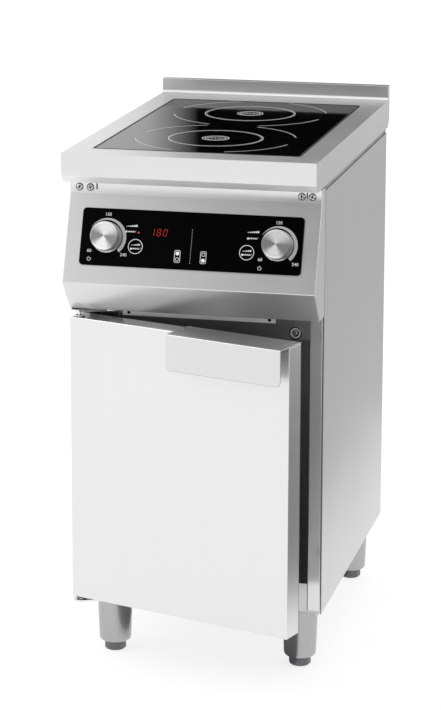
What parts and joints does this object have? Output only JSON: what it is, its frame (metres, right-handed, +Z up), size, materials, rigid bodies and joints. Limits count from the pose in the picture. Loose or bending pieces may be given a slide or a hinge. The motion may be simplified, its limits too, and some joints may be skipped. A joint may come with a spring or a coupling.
{
  "type": "induction hob",
  "caption": "Free-standing stainless induction hob with a glass cooking surface, a sloped control fascia with rotary knobs, and a base cabinet with a hinged door on adjustable legs.",
  "frame": {"origin": "on the floor under the middle of the overall footprint, with the door ajar", "axes": "+Z up, +X to the right seen from the front, -Y towards the cook"},
  "size_m": [0.4, 0.7586, 0.87],
  "materials": {
    "stainless": "satin brushed",
    "door_steel": "bright satin",
    "galvanised": "dull",
    "chrome": "polished",
    "black_glass": "polished, printed",
    "rubber": "matt",
    "knob_aluminium": "spun",
    "aluminium": "mill finish",
    "copper": "enamelled winding",
    "circuit_board": "solder resist",
    "black_plastic": "fine moulded",
    "foot_grey": "satin moulded",
    "ceramic": "unglazed"
  },
  "bodies": {
    "cabinet": {"worktop": "stainless", "control_housing": "stainless", "side_panel_left": "stainless", "side_panel_right": "stainless", "rear_panel": "stainless", "post_left": "stainless", "post_right": "stainless", "top_rail": "stainless", "base_tray": "stainless", "leg_front_left": "stainless", "leg_front_right": "stainless", "leg_rear_left": "stainless", "leg_rear_right": "stainless", "worktop_bearer_left": "galvanised", "worktop_bearer_right": "galvanised", "electronics_deck": "galvanised", "coil_rail_front": "galvanised", "coil_rail_rear": "galvanised", "fixing_strip": "chrome", "magnet_catch": "chrome", "hinge_bracket_upper": "chrome", "hinge_bracket_lower": "chrome", "hinge_pin_upper": "chrome", "hinge_pin_lower": "chrome", "hob_glass": "black_glass", "control_glass": "black_glass", "glass_seal": "rubber", "coil_carrier_front": "aluminium", "coil_carrier_rear": "aluminium", "heatsink_left": "aluminium", "heatsink_right": "aluminium", "coil_front": "copper", "coil_rear": "copper", "display_board": "circuit_board", "power_board_left": "circuit_board", "power_board_right": "circuit_board", "encoder_left": "black_plastic", "encoder_right": "black_plastic", "fan_frame_left": "black_plastic", "fan_frame_right": "black_plastic", "terminal_block": "black_plastic", "cable_gland": "black_plastic", "temperature_sensor_front": "ceramic", "temperature_sensor_rear": "ceramic"},
    "left_knob": {"knob_left": "knob_aluminium", "knob_shaft_left": "chrome"},
    "right_knob": {"knob_right": "knob_aluminium", "knob_shaft_right": "chrome"},
    "door": {"door_skin": "door_steel", "door_liner": "stainless", "door_bush_upper": "black_plastic", "door_bush_lower": "black_plastic", "door_handle": "door_steel", "striker_plate": "chrome"},
    "left_fan": {"fan_rotor_left": "black_plastic"},
    "right_fan": {"fan_rotor_right": "black_plastic"},
    "front_left_foot": {"foot_front_left": "foot_grey"},
    "front_right_foot": {"foot_front_right": "foot_grey"},
    "rear_left_foot": {"foot_rear_left": "foot_grey"},
    "rear_right_foot": {"foot_rear_right": "foot_grey"}
  },
  "joints": [
    {"name": "door_hinge", "type": "hinge", "parent": "cabinet", "child": "door", "pos_m": [-0.185, -0.22821, 0.35], "axis": [0, 0, -1], "range_deg": [-17.8, 92.2]},
    {"name": "left_knob_turn", "type": "hinge", "parent": "cabinet", "child": "left_knob", "pos_m": [-0.133, -0.24689, 0.71069], "axis": [0, 0.936, -0.3519], "range_deg": [0, 270]},
    {"name": "right_knob_turn", "type": "hinge", "parent": "cabinet", "child": "right_knob", "pos_m": [0.137, -0.24689, 0.71069], "axis": [0, 0.936, -0.3519], "range_deg": [0, 270]},
    {"name": "front_left_foot_screw", "type": "slide", "parent": "cabinet", "child": "front_left_foot", "axis": [0, 0, -1], "range_m": [-0.01, 0.035]},
    {"name": "front_right_foot_screw", "type": "slide", "parent": "cabinet", "child": "front_right_foot", "axis": [0, 0, -1], "range_m": [-0.01, 0.035]},
    {"name": "rear_left_foot_screw", "type": "slide", "parent": "cabinet", "child": "rear_left_foot", "axis": [0, 0, -1], "range_m": [-0.01, 0.035]},
    {"name": "rear_right_foot_screw", "type": "slide", "parent": "cabinet", "child": "rear_right_foot", "axis": [0, 0, -1], "range_m": [-0.01, 0.035]},
    {"name": "left_fan_spin", "type": "hinge", "parent": "cabinet", "child": "left_fan", "pos_m": [-0.095, 0.16929, 0.6408], "axis": [0, -1, 0], "continuous": true},
    {"name": "right_fan_spin", "type": "hinge", "parent": "cabinet", "child": "right_fan", "pos_m": [0.095, 0.16929, 0.6408], "axis": [0, -1, 0], "continuous": true}
  ]
}
